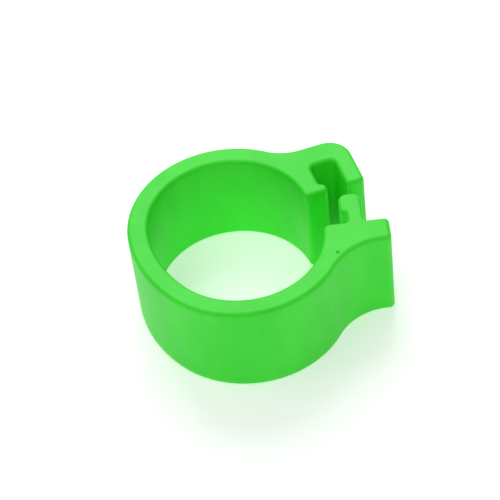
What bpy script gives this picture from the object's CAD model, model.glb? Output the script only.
"""Leg band with a snap clasp: the smooth moulding over the jointed frame.

The band is one green moulding. Its wall runs round from the socket lug to the tongue
lug, and it bends in the back, so the wall there is a piece of its own that bends
across the flex joint. All lengths in the classes are millimetres, and meshes are
handed to Blender in metres.
"""

from __future__ import annotations

import logging
import math
from dataclasses import dataclass, field
from enum import Enum

import bpy
import numpy as np
from mathutils import Matrix

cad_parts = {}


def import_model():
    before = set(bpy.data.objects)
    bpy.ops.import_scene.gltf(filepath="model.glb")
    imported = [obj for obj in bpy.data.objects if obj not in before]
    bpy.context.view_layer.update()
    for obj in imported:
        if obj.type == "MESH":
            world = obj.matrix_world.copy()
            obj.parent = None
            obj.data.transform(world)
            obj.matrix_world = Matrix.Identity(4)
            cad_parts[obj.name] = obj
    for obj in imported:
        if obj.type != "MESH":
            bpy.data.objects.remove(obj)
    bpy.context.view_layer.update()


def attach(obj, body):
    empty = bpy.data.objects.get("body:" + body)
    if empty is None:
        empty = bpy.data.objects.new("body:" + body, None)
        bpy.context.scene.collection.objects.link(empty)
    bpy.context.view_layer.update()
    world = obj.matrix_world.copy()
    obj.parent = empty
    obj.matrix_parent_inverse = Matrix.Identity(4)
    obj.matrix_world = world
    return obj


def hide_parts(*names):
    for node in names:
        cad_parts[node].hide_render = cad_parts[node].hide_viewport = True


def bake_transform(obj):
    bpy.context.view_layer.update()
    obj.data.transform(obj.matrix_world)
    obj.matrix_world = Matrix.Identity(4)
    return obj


log = logging.getLogger("leg_band")

MM = 0.001
LEAST_CHORDS = 4  # fewest chords in an arc
CORNER_CHORD = 0.18  # longest chord of a rounded corner, as a share of its radius
SMALL_STEP = 0.1  # longest chord of the small arcs, in millimetres
BLEND_STEP = 0.2  # longest chord of the blends into the lugs, in millimetres
RUN_STEP = 0.3  # longest division of the runs and of the bore, in millimetres
BACK_STEP = 0.5  # degrees between the sections of the bending back
ARM_STEP = 1.0  # degrees between the sections of the stiff arms


# ---------------------------------------------------------------------------
# Plan curves
# ---------------------------------------------------------------------------


@dataclass(frozen=True)
class Trace:
    """A stretch of outline in the plan, with the direction that points out of the plastic.

    Attributes:
        points: N x 2 array of positions.
        outward: N x 2 array of unit vectors.
    """

    points: np.ndarray
    outward: np.ndarray

    def then(self, other: "Trace") -> "Trace":
        """Joins another stretch on at the end, dropping the point they share.

        Args:
            other: The stretch that follows.

        Returns:
            The joined stretch.
        """
        return Trace(
            np.vstack([self.points, other.points[1:]]),
            np.vstack([self.outward, other.outward[1:]]),
        )


def arc_trace(
    centre: tuple[float, float], radius: float, start: float, end: float, step: float
) -> Trace:
    """A round stretch: centre plus radius times (cosine, sine) of an evenly spaced angle.

    The plastic lies on the left of the direction of travel, so a counter-clockwise
    arc is convex and a clockwise one is hollow.

    Args:
        centre: Plan point of the arc's centre.
        radius: Radius of the arc.
        start: First angle in radians.
        end: Last angle in radians.
        step: Longest chord allowed, in millimetres.

    Returns:
        The stretch of outline.
    """
    count = max(LEAST_CHORDS, int(math.ceil(abs(end - start) * radius / step)))
    turn = np.linspace(start, end, count + 1)
    ray = np.stack([np.cos(turn), np.sin(turn)], axis=1)
    return Trace(np.asarray(centre) + radius * ray, ray * math.copysign(1.0, end - start))


def line_trace(start: np.ndarray, end: np.ndarray, step: float) -> Trace:
    """A straight stretch, evenly divided, with the plastic on its left.

    Args:
        start: First plan point.
        end: Last plan point.
        step: Longest division allowed.

    Returns:
        The stretch of outline.
    """
    along = np.asarray(end, float) - np.asarray(start, float)
    length = float(np.hypot(*along))
    count = max(1, int(math.ceil(length / step)))
    share = np.linspace(0.0, 1.0, count + 1)[:, None]
    out = np.array([along[1], -along[0]]) / length
    points = np.asarray(start, float) + share * along
    return Trace(points, np.repeat(out[None], count + 1, axis=0))


def rounded_trace(corners: list[tuple[float, float, float]], step: float) -> Trace:
    """Straight runs through corner points, each corner rounded by its own tangent arc.

    The arc leaves each run at radius times the tangent of half the turn before the
    corner. The first and last corners are the ends of the stretch.

    Args:
        corners: Plan x, plan y and rounding radius of each corner.
        step: Longest division allowed.

    Returns:
        The stretch of outline.
    """
    points = np.array([(x, y) for x, y, _ in corners], float)
    runs = np.diff(points, axis=0)
    runs /= np.hypot(runs[:, 0], runs[:, 1])[:, None]
    place = points[0]
    trace: Trace | None = None
    for index in range(1, len(corners)):
        target, arc = points[index], None
        if index < len(corners) - 1:
            before, after, radius = runs[index - 1], runs[index], corners[index][2]
            turn = math.atan2(before[0] * after[1] - before[1] * after[0], float(before @ after))
            inset = radius * math.tan(abs(turn) / 2)
            side = math.copysign(1.0, turn)
            target = points[index] - before * inset
            middle = target + side * radius * np.array([-before[1], before[0]])
            first = math.atan2(*(target - middle)[::-1])
            chord = min(step, radius * CORNER_CHORD)
            arc = arc_trace(tuple(middle), radius, first, first + turn, chord)
        run = line_trace(place, target, step)
        trace = run if trace is None else trace.then(run)
        if arc is not None:
            trace = trace.then(arc)
            place = arc.points[-1]
    return trace


def edge_fillet(
    level: float, side: float, centre: tuple[float, float], radius: float, blend: float
) -> tuple[float, float]:
    """Centre of the arc that joins a line of constant y to the outside of a circle.

    It lies the blend radius to one side of the line, and the sum of both radii away
    from the circle's centre.

    Args:
        level: The line's y.
        side: +1 if the arc's centre is above the line, -1 if below.
        centre: The circle's centre.
        radius: The circle's radius.
        blend: The joining arc's radius.

    Returns:
        The joining arc's centre.
    """
    y = level + side * blend
    x = centre[0] + math.sqrt((radius + blend) ** 2 - (y - centre[1]) ** 2)
    return x, y


# ---------------------------------------------------------------------------
# The band's measures
# ---------------------------------------------------------------------------


@dataclass(frozen=True)
class Arc:
    """A round stretch of the wall: its centre, the radius of its middle and its azimuths."""

    centre: tuple[float, float]
    radius: float
    start: float
    end: float

    def point(self, azimuth: float, level: float) -> tuple[float, float, float]:
        """A point on the wall's middle, in metres.

        Args:
            azimuth: Azimuth about the arc's centre, in degrees.
            level: Height in millimetres.

        Returns:
            The point.
        """
        turn = math.radians(azimuth)
        x = self.centre[0] + self.radius * math.cos(turn)
        y = self.centre[1] + self.radius * math.sin(turn)
        return x * MM, y * MM, level * MM


@dataclass(frozen=True)
class BandMeasures:
    """Sizes shared by every part of the moulding, in millimetres and degrees.

    Azimuths of the parts are given in the full round. The back of the wall is a
    flatter arc, as long as its stretch of the full round and turned through less.
    """

    bore: float = 8.0
    wall: float = 2.1
    height: float = 10.6
    rim: float = 0.4
    flex_start: float = 171.5
    flex_end: float = 226.5
    rest: float = 17.5
    closed: float = 3.75

    @property
    def outer(self) -> float:
        """Outer radius of the wall."""
        return self.bore + self.wall

    @property
    def middle(self) -> float:
        """Radius of the wall's middle."""
        return self.bore + self.wall / 2

    def back(self, opening: float) -> Arc:
        """The back of the wall: its radius grows so that its length stays as the band opens.

        Args:
            opening: The opening in degrees, counted from the full round.

        Returns:
            The back's arc.
        """
        span = self.flex_end - self.flex_start
        radius = self.middle * span / (span - opening)
        centre = (self.middle - radius) * heading(self.flex_start)
        end = self.flex_end - opening
        return Arc((float(centre[0]), float(centre[1])), radius, self.flex_start, end)

    def tongue_centre(self, opening: float) -> np.ndarray:
        """Centre of the tongue arm's wall, which follows the back without a kink.

        Args:
            opening: The opening in degrees.

        Returns:
            The plan point.
        """
        back = self.back(opening)
        return np.array(back.centre) + (back.radius - self.middle) * heading(back.end)

    def at_rest(self, points: np.ndarray) -> np.ndarray:
        """Carries plan points of the closed tongue half to the rest state.

        A point keeps its place against the tongue arm's centre, and turns clockwise
        by the angle between closed and rest.

        Args:
            points: N x 2 plan points as they lie in the closed band.

        Returns:
            The N x 2 points at rest.
        """
        turn = -math.radians(self.rest - self.closed)
        arm = points - self.tongue_centre(self.closed)
        c, s = math.cos(turn), math.sin(turn)
        x, y = arm[:, 0], arm[:, 1]
        return self.tongue_centre(self.rest) + np.stack([c * x - s * y, s * x + c * y], axis=1)


def heading(azimuth: float) -> np.ndarray:
    """The plan's unit vector at an azimuth in degrees."""
    return np.array([math.cos(math.radians(azimuth)), math.sin(math.radians(azimuth))])


# ---------------------------------------------------------------------------
# Surfaces
# ---------------------------------------------------------------------------


@dataclass
class Shell:
    """A closed surface being gathered: vertices, faces and which edges stay crisp."""

    vertices: list[np.ndarray] = field(default_factory=list)
    faces: list[list[int]] = field(default_factory=list)
    crisp: list[np.ndarray] = field(default_factory=list)
    count: int = 0

    def add_points(self, points: np.ndarray) -> np.ndarray:
        """Adds vertices.

        Args:
            points: Array of N x 3 positions in millimetres.

        Returns:
            The N new vertex numbers.
        """
        self.vertices.append(points)
        numbers = np.arange(self.count, self.count + len(points))
        self.count += len(points)
        return numbers

    def add_grid(self, grid: np.ndarray, loop: bool = False) -> None:
        """Adds the quads of a grid of vertex numbers.

        Args:
            grid: Rows along the first parameter, columns along the second.
            loop: Whether the last column joins the first.
        """
        ahead = np.roll(grid, -1, axis=1)
        width = grid.shape[1] if loop else grid.shape[1] - 1
        near, far = grid[:, :width], ahead[:, :width]
        quads = np.stack([near[:-1], near[1:], far[1:], far[:-1]], axis=-1)
        self.faces.extend(quads.reshape(-1, 4).tolist())

    def add_cap(self, ring: np.ndarray) -> None:
        """Adds one flat face inside a closed ring of vertices.

        Args:
            ring: Vertex numbers in order, counter-clockwise seen from outside.
        """
        self.faces.append(ring.tolist())

    def keep_crisp(self, ring: np.ndarray) -> None:
        """Marks the edges of a ring as crisp, as at a cut through the plastic."""
        self.crisp.append(np.stack([ring, np.roll(ring, -1)], axis=1))

    def to_object(self, name: str) -> bpy.types.Object:
        """Makes the Blender mesh and its object, at the origin and in metres.

        Args:
            name: The object's name.

        Returns:
            The new object.
        """
        mesh = bpy.data.meshes.new(name)
        mesh.from_pydata((np.vstack(self.vertices) * MM).tolist(), [], self.faces)
        mesh.update()
        mesh.shade_smooth()
        if self.crisp:
            ends = np.zeros(len(mesh.edges) * 2, np.int64)
            mesh.edges.foreach_get("vertices", ends)
            span = self.count + 1
            ends = np.sort(ends.reshape(-1, 2), axis=1) @ np.array([span, 1])
            wanted = np.sort(np.vstack(self.crisp), axis=1) @ np.array([span, 1])
            flag = mesh.attributes.new("sharp_edge", "BOOLEAN", "EDGE")
            flag.data.foreach_set("value", np.isin(ends, wanted))
        piece = bpy.data.objects.new(name, mesh)
        bpy.context.scene.collection.objects.link(piece)
        return piece


@dataclass(frozen=True)
class RimProfile:
    """The upright section of the plastic: flat, quarter round, wall, quarter round, flat."""

    height: float
    rim: float
    flat: float = 0.05
    rim_steps: int = 7
    wall_steps: int = 18

    def half(self) -> tuple[np.ndarray, np.ndarray]:
        """Inset and height along the section, from the bottom flat to the top flat.

        On the bottom rim the inset is rim times (1 - sine) and the height is rim times
        (1 - cosine) of an angle from 0 to a right angle, and the top rim mirrors it.

        Returns:
            The insets and the heights.
        """
        turn = np.linspace(0.0, math.pi / 2, self.rim_steps + 1)
        inset = self.rim * (1.0 - np.sin(turn))
        level = self.rim * (1.0 - np.cos(turn))
        wall = np.linspace(self.rim, self.height - self.rim, self.wall_steps + 1)[1:-1]
        flat = [self.rim + self.flat]
        insets = np.concatenate([flat, inset, np.zeros(len(wall)), inset[::-1], flat])
        levels = np.concatenate([[0.0], level, wall, self.height - level[::-1], [self.height]])
        return insets, levels

    def across(self, inner: float, outer: float) -> tuple[np.ndarray, np.ndarray]:
        """The closed section of the round wall, as radius and height.

        It climbs the outer side, crosses the top, comes down the inner side and
        crosses the bottom.

        Args:
            inner: Inner radius.
            outer: Outer radius.

        Returns:
            Radii and heights of the closed section.
        """
        inset, level = self.half()
        radius = np.concatenate([outer - inset, inner + inset[::-1]])
        return radius, np.concatenate([level, level[::-1]])


@dataclass
class WallStretch:
    """A stretch of the wall, swept along its arc, with both ends closed."""

    measures: BandMeasures
    arc: Arc
    step: float = ARM_STEP

    def build(self, name: str) -> bpy.types.Object:
        """Sweeps the rounded section along the arc.

        A point is the arc's centre plus (radius times cosine, radius times sine) of
        the azimuth, at the section's own height.

        Args:
            name: The object's name.

        Returns:
            The new object.
        """
        m, arc = self.measures, self.arc
        inner, outer = arc.radius - m.wall / 2, arc.radius + m.wall / 2
        radius, level = RimProfile(m.height, m.rim).across(inner, outer)
        rows = int(math.ceil((arc.end - arc.start) / self.step)) + 1
        turn = np.radians(np.linspace(arc.start, arc.end, rows))[:, None]
        x = arc.centre[0] + radius * np.cos(turn)
        y = arc.centre[1] + radius * np.sin(turn)
        z = np.broadcast_to(level, x.shape)
        shell = Shell()
        grid = shell.add_points(np.stack([x, y, z], axis=2).reshape(-1, 3)).reshape(x.shape)
        shell.add_grid(grid, loop=True)
        shell.add_cap(grid[0])
        shell.add_cap(grid[-1][::-1])
        shell.keep_crisp(grid[0])
        shell.keep_crisp(grid[-1])
        return shell.to_object(name)


@dataclass
class Moulding:
    """An upright piece of the moulding over an outline made of open stretches.

    Where one stretch ends and the next begins there is a cut through the plastic,
    closed by a flat face. The last stretch is cut off from the first in the same way.
    """

    measures: BandMeasures
    traces: list[Trace]

    def build(self, name: str) -> bpy.types.Object:
        """Carries the rim section along every stretch, then closes top, bottom and cuts.

        A point is the outline's point less its outward direction times the section's
        inset, at the section's height.

        Args:
            name: The object's name.

        Returns:
            The new object.
        """
        inset, level = RimProfile(self.measures.height, self.measures.rim).half()
        shell, grids = Shell(), []
        for trace in self.traces:
            plan = trace.points[:, None, :] - trace.outward[:, None, :] * inset[None, :, None]
            upright = np.broadcast_to(level[None, :, None], plan.shape[:2] + (1,))
            points = np.concatenate([plan, upright], axis=2)
            grid = shell.add_points(points.reshape(-1, 3)).reshape(points.shape[:2])
            shell.add_grid(grid)
            grids.append(grid)
        shell.add_cap(np.concatenate([g[:, -1] for g in grids]))
        shell.add_cap(np.concatenate([g[:, 0] for g in grids])[::-1])
        for grid, following in zip(grids, grids[1:] + grids[:1]):
            cut = np.concatenate([grid[-1], following[0][::-1]])
            shell.add_cap(cut[::-1])
            shell.keep_crisp(cut)
        return shell.to_object(name)


# ---------------------------------------------------------------------------
# Shader wiring
# ---------------------------------------------------------------------------


class Wire:
    """A shader socket that does arithmetic: each operator adds one Math node."""

    def __init__(self, board: "Board", socket: bpy.types.NodeSocket) -> None:
        """Wraps a socket of a board.

        Args:
            board: The board that the socket is on.
            socket: The socket.
        """
        self.board = board
        self.socket = socket

    def _math(self, operation: str, first: "Wire | float", second: "Wire | float") -> "Wire":
        """Adds a Math node.

        Args:
            operation: The node's operation.
            first: Its first value.
            second: Its second value.

        Returns:
            Its result.
        """
        return self.board.node("ShaderNodeMath", {"operation": operation}, {0: first, 1: second})

    def __add__(self, other: "Wire | float") -> "Wire":
        """Sum."""
        return self._math("ADD", self, other)

    def __radd__(self, other: float) -> "Wire":
        """Sum with the value first."""
        return self._math("ADD", other, self)

    def __sub__(self, other: "Wire | float") -> "Wire":
        """Difference."""
        return self._math("SUBTRACT", self, other)

    def __rsub__(self, other: float) -> "Wire":
        """Difference from the value."""
        return self._math("SUBTRACT", other, self)

    def __mul__(self, other: "Wire | float") -> "Wire":
        """Product."""
        return self._math("MULTIPLY", self, other)

    def __rmul__(self, other: float) -> "Wire":
        """Product with the value first."""
        return self._math("MULTIPLY", other, self)

    def fade(self, low: float, high: float) -> "Wire":
        """Smoothly rises from 0 at low to 1 at high, or falls if low is the larger.

        Args:
            low: Where the result is 0.
            high: Where the result is 1.

        Returns:
            The smooth step.
        """
        settings = {"interpolation_type": "SMOOTHSTEP", "clamp": True}
        values = {"Value": self, "From Min": low, "From Max": high}
        if low > high:
            values |= {"From Min": high, "From Max": low, "To Min": 1.0, "To Max": 0.0}
        return self.board.node("ShaderNodeMapRange", settings, values)


@dataclass(frozen=True)
class Pattern:
    """A noise: its repeats per metre, its octaves and the share that each octave keeps."""

    scale: float
    detail: float
    keep: float = 0.5


class Board:
    """A material's node tree."""

    def __init__(self, name: str) -> None:
        """Starts a material with no nodes.

        Args:
            name: The material's name.
        """
        self.material = bpy.data.materials.new(name)
        self.material.use_nodes = True
        self.tree = self.material.node_tree
        self.tree.nodes.clear()

    def node(self, kind: str, settings: dict, inputs: dict, output: int | str = 0) -> Wire:
        """Adds any node: settings first, then the values or links of its sockets.

        Args:
            kind: Blender's node type.
            settings: Attributes of the node.
            inputs: Socket name or number to a value or a Wire.
            output: Which output to hand back.

        Returns:
            The chosen output.
        """
        made = self.tree.nodes.new(kind)
        for key, value in settings.items():
            setattr(made, key, value)
        for key, value in inputs.items():
            if isinstance(value, Wire):
                self.tree.links.new(value.socket, made.inputs[key])
            else:
                made.inputs[key].default_value = value
        return Wire(self, made.outputs[output]) if len(made.outputs) else Wire(self, None)

    def noise(self, where: Wire, pattern: Pattern) -> Wire:
        """A noise pattern from 0 to 1.

        Args:
            where: Coordinates.
            pattern: Its scale, detail and roughness.

        Returns:
            The pattern's value.
        """
        values = {"Scale": pattern.scale, "Detail": pattern.detail, "Roughness": pattern.keep}
        values |= {"Vector": where}
        return self.node("ShaderNodeTexNoise", {"noise_dimensions": "3D"}, values)

    def mix_colour(
        self, share: Wire | float, first: "Wire | tuple", second: "Wire | tuple"
    ) -> Wire:
        """Blends two colours.

        Args:
            share: 0 for the first colour, 1 for the second.
            first: A colour.
            second: Another colour.

        Returns:
            The blend.
        """
        return self.node("ShaderNodeMix", {"data_type": "RGBA"}, {0: share, 6: first, 7: second}, 2)


class Sheen(Enum):
    """How a surface is finished: its lowest and highest roughness."""

    SATIN = (0.42, 0.52)
    CHALKY = (0.85, 0.93)


@dataclass(frozen=True)
class Mark:
    """A small round witness mark on an upper face, in metres."""

    x: float
    y: float
    radius: float
    depth: float


@dataclass(frozen=True)
class MouldedGreen:
    """Bright green plastic, coloured right through, with a fine satin mould finish."""

    deep: tuple[float, float, float, float] = (0.026, 0.790, 0.016, 1.0)
    bright: tuple[float, float, float, float] = (0.046, 0.860, 0.026, 1.0)
    shade: tuple[float, float, float, float] = (0.010, 0.420, 0.010, 1.0)
    sheen: Sheen = Sheen.SATIN
    flow: tuple[float, float, float] = (1.0, 1.0, 0.45)
    cloud: Pattern = Pattern(140.0, 3.0, 0.55)
    swirl: Pattern = Pattern(420.0, 2.0)
    grain: Pattern = Pattern(5200.0, 2.0, 0.6)
    uneven: Pattern = Pattern(260.0, 2.0)
    cloud_share: float = 0.65
    tone_from: float = 0.34
    tone_to: float = 0.66
    grain_share: float = 0.6
    grain_relief: float = 3.0e-6
    uneven_relief: float = 1.6e-5
    mark_shade: float = 0.8
    mark_roughness: float = 0.1
    mark_inside: float = 0.75
    mark_outside: float = 1.25
    ior: float = 1.50
    specular: float = 0.42

    def make(self, name: str, height: float, marks: tuple[Mark, ...] = ()) -> bpy.types.Material:
        """Makes the material.

        Soft clouds of colour follow the flow of the plastic, a finer grain breaks up
        the gloss, and the bump adds the tool's texture and a slight unevenness.

        Args:
            name: The material's name.
            height: Height of the upper faces, in metres.
            marks: Witness marks on the upper faces.

        Returns:
            The material.
        """
        b = Board(name)
        place = b.node("ShaderNodeTexCoord", {}, {}, "Object")
        drift = b.node("ShaderNodeMapping", {}, {"Vector": place, "Scale": self.flow})
        cloud = b.noise(drift, self.cloud)
        swirl = b.noise(drift, self.swirl)
        grain = b.noise(place, self.grain)
        uneven = b.noise(place, self.uneven)
        tone = cloud * self.cloud_share + swirl * (1.0 - self.cloud_share)
        tone = tone.fade(self.tone_from, self.tone_to)
        colour = b.mix_colour(tone, self.deep, self.bright)
        pit = self._marks(b, place, height, marks)
        colour = b.mix_colour(pit * self.mark_shade, colour, self.shade)
        low, high = self.sheen.value
        gloss = grain * self.grain_share + cloud * (1.0 - self.grain_share)
        rough = low + (high - low) * gloss + pit * self.mark_roughness
        relief = uneven * self.uneven_relief + grain * self.grain_relief
        relief = relief - pit * self._depth(marks)
        bump = b.node("ShaderNodeBump", {}, {"Strength": 1.0, "Distance": 1.0, "Height": relief})
        values = {
            "Base Color": colour,
            "Roughness": rough,
            "Normal": bump,
            "IOR": self.ior,
            "Specular IOR Level": self.specular,
        }
        shader = b.node("ShaderNodeBsdfPrincipled", {}, values)
        b.node("ShaderNodeOutputMaterial", {}, {"Surface": shader})
        return b.material

    @staticmethod
    def _depth(marks: tuple[Mark, ...]) -> float:
        """Depth of the deepest mark, or 0."""
        return max((mark.depth for mark in marks), default=0.0)

    def _marks(self, b: Board, place: Wire, height: float, marks: tuple[Mark, ...]) -> Wire:
        """A mask that is 1 inside each mark and fades at its edge.

        Args:
            b: The board.
            place: Object coordinates.
            height: Height of the upper faces.
            marks: The marks.

        Returns:
            The mask.
        """
        level = b.node("ShaderNodeSeparateXYZ", {}, {0: place}, "Z")
        top = level.fade(height - 0.25 * MM, height - 0.10 * MM)
        mask: Wire = top * 0.0
        for mark in marks:
            spot = (mark.x, mark.y, height)
            gap = b.node("ShaderNodeVectorMath", {"operation": "SUBTRACT"}, {0: place, 1: spot})
            away = b.node("ShaderNodeVectorMath", {"operation": "LENGTH"}, {0: gap}, "Value")
            outside, inside = mark.radius * self.mark_outside, mark.radius * self.mark_inside
            mask = mask + away.fade(outside, inside)
        return mask * top


@dataclass(frozen=True)
class PaleFloor:
    """The plain ground the band lies on."""

    colour: tuple[float, float, float, float] = (0.90, 0.90, 0.90, 1.0)
    glow: float = 0.41
    size: float = 3.0
    sheen: Sheen = Sheen.CHALKY
    mottle: Pattern = Pattern(40.0, 2.0)
    specular: float = 0.1

    def build(self) -> bpy.types.Object:
        """Makes the floor sheet and marks it as stage.

        Returns:
            The floor object.
        """
        half = self.size / 2
        shell = Shell()
        corners = [[-half, -half, 0.0], [half, -half, 0.0], [half, half, 0.0], [-half, half, 0.0]]
        shell.add_cap(shell.add_points(np.array(corners) / MM))
        floor = shell.to_object("studio_floor")
        b = Board("pale_ground")
        place = b.node("ShaderNodeTexCoord", {}, {}, "Object")
        low, high = self.sheen.value
        rough = low + (high - low) * b.noise(place, self.mottle)
        values = {"Base Color": self.colour, "Roughness": rough}
        values |= {"Specular IOR Level": self.specular}
        values |= {"Emission Color": self.colour, "Emission Strength": self.glow}
        shader = b.node("ShaderNodeBsdfPrincipled", {}, values)
        b.node("ShaderNodeOutputMaterial", {}, {"Surface": shader})
        floor.data.materials.append(b.material)
        return floor


# ---------------------------------------------------------------------------
# The band's parts
# ---------------------------------------------------------------------------


@dataclass
class SocketHalf:
    """The rear half: its arm of the ring, and the lug with the hooked slot."""

    measures: BandMeasures
    arm_start: float = 52.0
    lug_x: float = 14.35
    lug_y: float = 6.55
    blend: float = 5.0
    heel: float = 2.4
    corner: float = 0.5
    lip_x: float = 10.50
    lip_y: float = 0.95
    cavity_x: float = 9.88
    slope: float = 0.32
    undercut_round: float = 0.3
    slot_x: float = 12.45
    slot_y: float = 3.85
    slot_round: float = 0.6
    jaw_cut: float = 3.2
    jaw_stiff: float = 1.4
    nose_step: float = 0.09

    def build_arm(self) -> bpy.types.Object:
        """Sweeps the arm's wall up to the flexing back."""
        m = self.measures
        arc = Arc((0.0, 0.0), m.middle, self.arm_start, m.flex_start)
        return WallStretch(m, arc).build("socket_arm_wall")

    def lug_traces(self) -> list[Trace]:
        """The lug's outline: bore, lip and cavity first, then outer side, heel and blend.

        Returns:
            Two stretches, parted by the cut to the outer jaw and the cut to the arm.
        """
        m = self.measures
        seam = math.radians(self.arm_start)
        nose = edge_fillet(0.0, 1.0, (0.0, 0.0), m.bore, self.corner)
        nose_turn = math.atan2(nose[1], nose[0])
        inner = arc_trace((0.0, 0.0), m.bore, seam, nose_turn, RUN_STEP)
        turn = (math.pi + nose_turn, 1.5 * math.pi)
        inner = inner.then(arc_trace(nose, self.corner, *turn, self.nose_step))
        inner = inner.then(rounded_trace([
            (nose[0], 0.0, 0.0),
            (self.lip_x, 0.0, self.corner),
            (self.lip_x, self.lip_y, self.corner),
            (self.cavity_x, self.lip_y + self.slope, self.undercut_round),
            (self.cavity_x, self.slot_y, self.slot_round),
            (self.slot_x, self.slot_y, self.slot_round),
            (self.slot_x, self.jaw_cut, 0.0),
        ], RUN_STEP))
        curve = edge_fillet(self.lug_y, 1.0, (0.0, 0.0), m.outer, self.blend)
        outer = rounded_trace([
            (self.lug_x, self.jaw_cut, 0.0),
            (self.lug_x, self.lug_y, self.heel),
            (curve[0], self.lug_y, 0.0),
        ], RUN_STEP)
        curve_turn = math.atan2(curve[1], curve[0])
        turn = (1.5 * math.pi, curve_turn + math.pi)
        outer = outer.then(arc_trace(curve, self.blend, *turn, BLEND_STEP))
        if seam > curve_turn:
            outer = outer.then(arc_trace((0.0, 0.0), m.outer, curve_turn, seam, SMALL_STEP))
        return [inner, outer]

    def build_lug(self) -> bpy.types.Object:
        """Builds the lug with the inner jaw and the slot's blind end."""
        return Moulding(self.measures, self.lug_traces()).build("socket_lug")

    def build_jaw(self) -> bpy.types.Object:
        """Builds the outer jaw, from its cut above the slot's floor to its tip.

        Returns:
            The jaw.
        """
        trace = rounded_trace([
            (self.slot_x, self.jaw_cut, 0.0),
            (self.slot_x, 0.0, self.corner),
            (self.lug_x, 0.0, self.corner),
            (self.lug_x, self.jaw_cut, 0.0),
        ], BLEND_STEP)
        return Moulding(self.measures, [trace]).build("socket_outer_jaw_prong")

    def assemble(self, finish: bpy.types.Material) -> None:
        """Builds the three pieces, dresses them and puts them on their bodies.

        Args:
            finish: The plastic.
        """
        arm, lug, jaw = self.build_arm(), self.build_lug(), self.build_jaw()
        for piece in (arm, lug, jaw):
            piece.data.materials.append(finish)
        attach(arm, "socket_half")
        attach(lug, "socket_half")
        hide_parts("socket_arm")
        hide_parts("socket_end_wall", "socket_inner_jaw")
        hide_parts("socket_outer_jaw")
        level = self.measures.height / 2 * MM
        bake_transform(jaw)
        for piece in (arm, lug, jaw):
            log.info("%s: %d vertices", piece.name, len(piece.data.vertices))


@dataclass
class FlexBack:
    """The bending back of the wall, between the two halves."""

    measures: BandMeasures
    stiff_ends: float = 2.0

    def assemble(self, finish: bpy.types.Material) -> None:
        """Builds the back, dresses it and bends it across the flex joint.

        The bending starts and ends a little inside the piece, so that its end faces
        stay on their neighbours.

        Args:
            finish: The plastic.
        """
        m = self.measures
        arc = m.back(m.rest)
        piece = WallStretch(m, arc, BACK_STEP).build("back_wall")
        piece.data.materials.append(finish)
        start = arc.point(arc.start + self.stiff_ends, m.height / 2)
        end = arc.point(arc.end - self.stiff_ends, m.height / 2)
        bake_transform(piece)
        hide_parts("socket_arm", "tongue_arm")
        log.info("%s: %d vertices", piece.name, len(piece.data.vertices))


@dataclass
class TongueHalf:
    """The front half: its arm of the ring, and the lug with the barbed tongue."""

    measures: BandMeasures
    arm_end: float = 320.0
    gap: float = 0.15
    lug_x: float = 14.65
    thickness: float = 2.8
    blend: float = 5.9
    heel: float = 0.6
    corner: float = 0.5
    bore_corner: float = 0.7
    root_round: float = 0.3
    neck_x: float = 10.62
    head_x: float = 10.0
    tongue_x: float = 12.33
    catch_y: float = 1.07
    catch_round: float = 0.25
    slope: float = 0.32
    barb_round: float = 0.6
    tip_y: float = 3.7
    tip_round: float = 0.9

    def build_arm(self) -> bpy.types.Object:
        """Sweeps the arm's wall on from the flexing back."""
        m = self.measures
        x, y = m.tongue_centre(m.rest)
        arc = Arc((float(x), float(y)), m.middle, m.flex_end - m.rest, self.arm_end - m.rest)
        return WallStretch(m, arc).build("tongue_arm_wall")

    def lug_trace(self) -> Trace:
        """The lug's outline in the closed band: heel, outer corner, tongue, bore.

        It starts at the arm's outer side and runs round to the arm's inner side, with
        the plastic on its left.

        Returns:
            The outline.
        """
        m = self.measures
        face, heel = -self.gap, -self.gap - self.thickness
        x, y = m.tongue_centre(m.closed)
        seam = math.radians(self.arm_end - 360.0 - m.closed)
        curve = edge_fillet(heel, -1.0, (x, y), m.outer, self.blend)
        curve_turn = math.atan2(curve[1] - y, curve[0] - x)
        trace = arc_trace((x, y), m.outer, seam, curve_turn, SMALL_STEP)
        turn = (curve_turn + math.pi, math.pi / 2)
        trace = trace.then(arc_trace(curve, self.blend, *turn, BLEND_STEP))
        nose = edge_fillet(face, -1.0, (x, y), m.bore, self.bore_corner)
        nose_turn = math.atan2(nose[1] - y, nose[0] - x)
        trace = trace.then(rounded_trace([
            (curve[0], heel, 0.0),
            (self.lug_x, heel, self.heel),
            (self.lug_x, face, self.corner),
            (self.tongue_x, face, self.root_round),
            (self.tongue_x, self.tip_y, self.tip_round),
            (self.head_x, self.tip_y, self.tip_round),
            (self.head_x, self.catch_y + self.slope, self.barb_round),
            (self.neck_x, self.catch_y, self.catch_round),
            (self.neck_x, face, self.root_round),
            (nose[0], face, 0.0),
        ], RUN_STEP))
        turn = (math.pi / 2, nose_turn + math.pi)
        trace = trace.then(arc_trace(nose, self.bore_corner, *turn, SMALL_STEP))
        return trace.then(arc_trace((x, y), m.bore, nose_turn, seam, RUN_STEP))

    def build_lug(self) -> bpy.types.Object:
        """Builds the lug and the tongue in one and carries them to the rest state.

        Returns:
            The lug with its tongue.
        """
        m = self.measures
        drawn = self.lug_trace()
        points = m.at_rest(drawn.points)
        outward = m.at_rest(drawn.points + drawn.outward) - points
        return Moulding(m, [Trace(points, outward)]).build("tongue_lug_and_tongue")

    def assemble(self, finish: bpy.types.Material) -> None:
        """Builds both pieces, dresses them and puts them on the tongue half.

        Args:
            finish: The plastic.
        """
        arm, lug = self.build_arm(), self.build_lug()
        for piece in (arm, lug):
            piece.data.materials.append(finish)
            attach(piece, "tongue_half")
        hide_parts("tongue_arm")
        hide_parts("tongue_lug", "tongue_neck", "tongue_head")
        for piece in (arm, lug):
            log.info("%s: %d vertices", piece.name, len(piece.data.vertices))


# ---------------------------------------------------------------------------
# Studio
# ---------------------------------------------------------------------------


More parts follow.
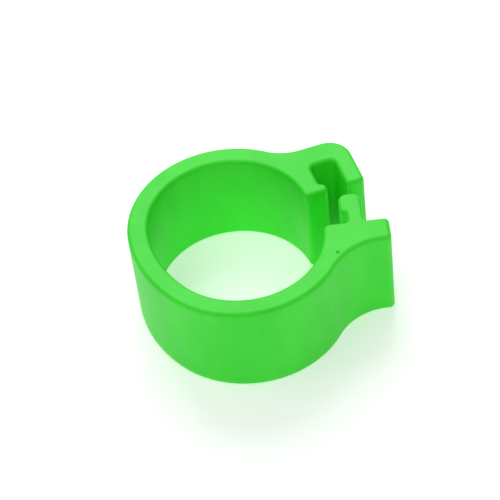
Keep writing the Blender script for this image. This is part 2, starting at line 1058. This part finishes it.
def stand(
    thing: bpy.types.Object, right: np.ndarray, up: np.ndarray, back: np.ndarray, place: np.ndarray
) -> None:
    """Puts a camera or a light in its place, facing against its back direction.

    Args:
        thing: The camera or light.
        right: Unit vector to its right.
        up: Unit vector upwards in its own view.
        back: Unit vector that points away from what it faces.
        place: Its position in metres.
    """
    matrix = np.eye(4)
    matrix[:3, :] = np.column_stack([right, up, back, place])
    thing.matrix_world = Matrix(matrix.tolist())


@dataclass(frozen=True)
class Viewpoint:
    """A long lens on the band from above and in front."""

    bearing: float = 12.92
    elevation: float = 47.50
    roll: float = -7.39
    distance: float = 0.20215
    lens: float = 147.76
    slide_right: float = -0.002127
    slide_up: float = 0.002989
    aim_height: float = 0.0106
    sensor: float = 36.0
    nearest: float = 0.01
    farthest: float = 10.0

    def build(self) -> bpy.types.Object:
        """Places the camera.

        The view looks along (cos e sin b, cos e cos b, -sin e). Its right is turned by
        the roll about that line, and it is slid across the view.

        Returns:
            The camera.
        """
        b, e, r = (math.radians(v) for v in (self.bearing, self.elevation, self.roll))
        ahead = np.array([math.cos(e) * math.sin(b), math.cos(e) * math.cos(b), -math.sin(e)])
        level = np.array([math.cos(b), -math.sin(b), 0.0])
        above = np.cross(level, ahead)
        right = math.cos(r) * level + math.sin(r) * above
        up = math.cos(r) * above - math.sin(r) * level
        place = np.array([0.0, 0.0, self.aim_height]) - ahead * self.distance
        place = place - right * self.slide_right - up * self.slide_up
        data = bpy.data.cameras.new("camera")
        data.lens = self.lens
        data.sensor_width = self.sensor
        data.clip_start, data.clip_end = self.nearest, self.farthest
        camera = bpy.data.objects.new("camera", data)
        bpy.context.scene.collection.objects.link(camera)
        stand(camera, right, up, -ahead, place)
        bpy.context.scene.camera = camera
        return camera


@dataclass(frozen=True)
class SoftBox:
    """A square soft light that faces a point near the band."""

    name: str
    place: tuple[float, float, float]
    size: float
    power: float
    aim: tuple[float, float, float] = (0.0, 0.0, 0.005)

    def build(self) -> bpy.types.Object:
        """Makes the light and turns its face to its aim.

        Returns:
            The light.
        """
        data = bpy.data.lights.new(self.name, "AREA")
        data.shape, data.size, data.energy = "SQUARE", self.size, self.power
        light = bpy.data.objects.new(self.name, data)
        bpy.context.scene.collection.objects.link(light)
        away = np.array(self.place) - np.array(self.aim)
        away = away / np.linalg.norm(away)
        side = np.cross([0.0, 1.0, 0.0], away)
        side = side / np.linalg.norm(side)
        stand(light, side, np.cross(away, side), away, np.array(self.place))
        return light


@dataclass(frozen=True)
class Studio:
    """Pale floor, even sky and soft boxes."""

    sky: float = 0.25
    boxes: tuple[SoftBox, ...] = (
        SoftBox("key_light", (-0.16, 0.02, 0.44), 0.34, 0.44),
        SoftBox("fill_light", (-0.06, -0.32, 0.34), 0.34, 0.40),
        SoftBox("sheen_light", (0.06, 0.30, 0.34), 0.30, 1.06),
    )

    def build(self) -> None:
        """Makes the floor, the lights, the world and the camera."""
        bpy.context.scene.view_settings.view_transform = "Standard"
        PaleFloor().build()
        for box in self.boxes:
            box.build()
        world = bpy.data.worlds.new("even_sky")
        world.use_nodes = True
        ground = world.node_tree.nodes["Background"]
        ground.inputs["Color"].default_value = (1.0, 1.0, 1.0, 1.0)
        ground.inputs["Strength"].default_value = self.sky
        bpy.context.scene.world = world
        Viewpoint().build()


def main() -> None:
    """Builds the band over the frame, then the studio."""
    logging.basicConfig(level=logging.INFO, format="%(name)s %(message)s")
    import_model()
    measures = BandMeasures()
    gate = Mark(x=8.48 * MM, y=-8.25 * MM, radius=0.17 * MM, depth=0.05 * MM)
    plastic = MouldedGreen().make("moulded_green", measures.height * MM, (gate,))
    SocketHalf(measures).assemble(plastic)
    FlexBack(measures).assemble(plastic)
    TongueHalf(measures).assemble(plastic)
    Studio().build()


if __name__ == "__main__":
    main()
